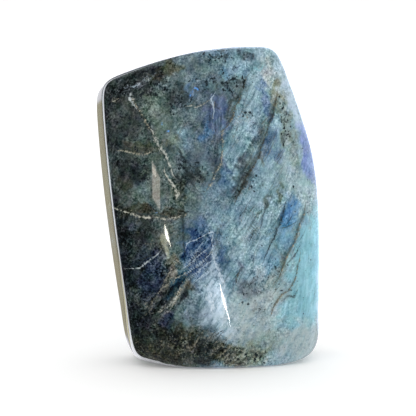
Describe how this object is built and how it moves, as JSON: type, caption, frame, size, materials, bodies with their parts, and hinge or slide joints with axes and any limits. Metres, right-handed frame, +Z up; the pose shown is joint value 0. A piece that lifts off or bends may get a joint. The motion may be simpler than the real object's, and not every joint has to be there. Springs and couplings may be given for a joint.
{
  "type": "polished labradorite freeform",
  "caption": "Upright freeform stone with a domed face, straight polished side walls, rounded edges and a sawn flat foot.",
  "frame": {"origin": "on the ground under the middle of the stone: the centre of its bounding box, at the sawn foot", "axes": "+Z up along the stone's height, the domed face looks along -Y, +X to the right as the face is seen"},
  "size_m": [0.0779, 0.042, 0.11],
  "materials": {
    "polished_labradorite": "mirror polish, dark grey-green feldspar with blue, turquoise, violet and brown-gold colour play"
  },
  "bodies": {
    "root": {"labradorite_stone": "polished_labradorite"}
  },
  "joints": []
}
